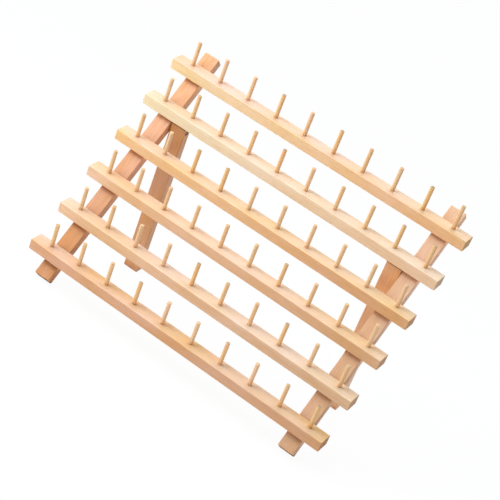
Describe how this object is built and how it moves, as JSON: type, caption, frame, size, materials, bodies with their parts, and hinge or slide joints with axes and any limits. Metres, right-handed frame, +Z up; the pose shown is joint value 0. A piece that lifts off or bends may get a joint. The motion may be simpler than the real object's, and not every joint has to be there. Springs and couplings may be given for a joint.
{
  "type": "thread spool rack",
  "caption": "Freestanding wooden rack that leans back on folding legs, with rows of slanted pegs on rails between two uprights, for keeping thread spools in view.",
  "frame": {"origin": "on the table, under the middle of the standing rack's bounding box", "axes": "+X along the rails, to the right as seen from the front; +Y to the back, where the legs are; +Z up"},
  "size_m": [0.404, 0.1792, 0.2951],
  "materials": {
    "rail_wood": "clear satin",
    "peg_wood": "bare, sanded",
    "upright_wood": "clear satin",
    "leg_wood": "clear satin",
    "dull_steel": "dulled zinc",
    "bright_steel": "zinc plated"
  },
  "bodies": {
    "frame": {"rail_1": "rail_wood", "rail_2": "rail_wood", "rail_3": "rail_wood", "rail_4": "rail_wood", "rail_5": "rail_wood", "rail_6": "rail_wood", "pegs_1": "peg_wood", "pegs_2": "peg_wood", "pegs_3": "peg_wood", "pegs_4": "peg_wood", "pegs_5": "peg_wood", "pegs_6": "peg_wood", "left_upright": "upright_wood", "right_upright": "upright_wood", "left_rail_screws": "bright_steel", "right_rail_screws": "bright_steel", "left_pivot_screw": "dull_steel", "right_pivot_screw": "dull_steel", "left_head_washer": "dull_steel", "right_head_washer": "dull_steel", "left_spacer_washer": "dull_steel", "right_spacer_washer": "dull_steel"},
    "left_leg": {"left_leg": "leg_wood"},
    "right_leg": {"right_leg": "leg_wood"}
  },
  "joints": [
    {"name": "left_leg_hinge", "type": "hinge", "parent": "frame", "child": "left_leg", "pos_m": [-0.14995, 0.0351, 0.20064], "axis": [-1, 0, 0], "range_deg": [0, 35]},
    {"name": "right_leg_hinge", "type": "hinge", "parent": "frame", "child": "right_leg", "pos_m": [0.14995, 0.0351, 0.20064], "axis": [-1, 0, 0], "range_deg": [0, 35]}
  ]
}
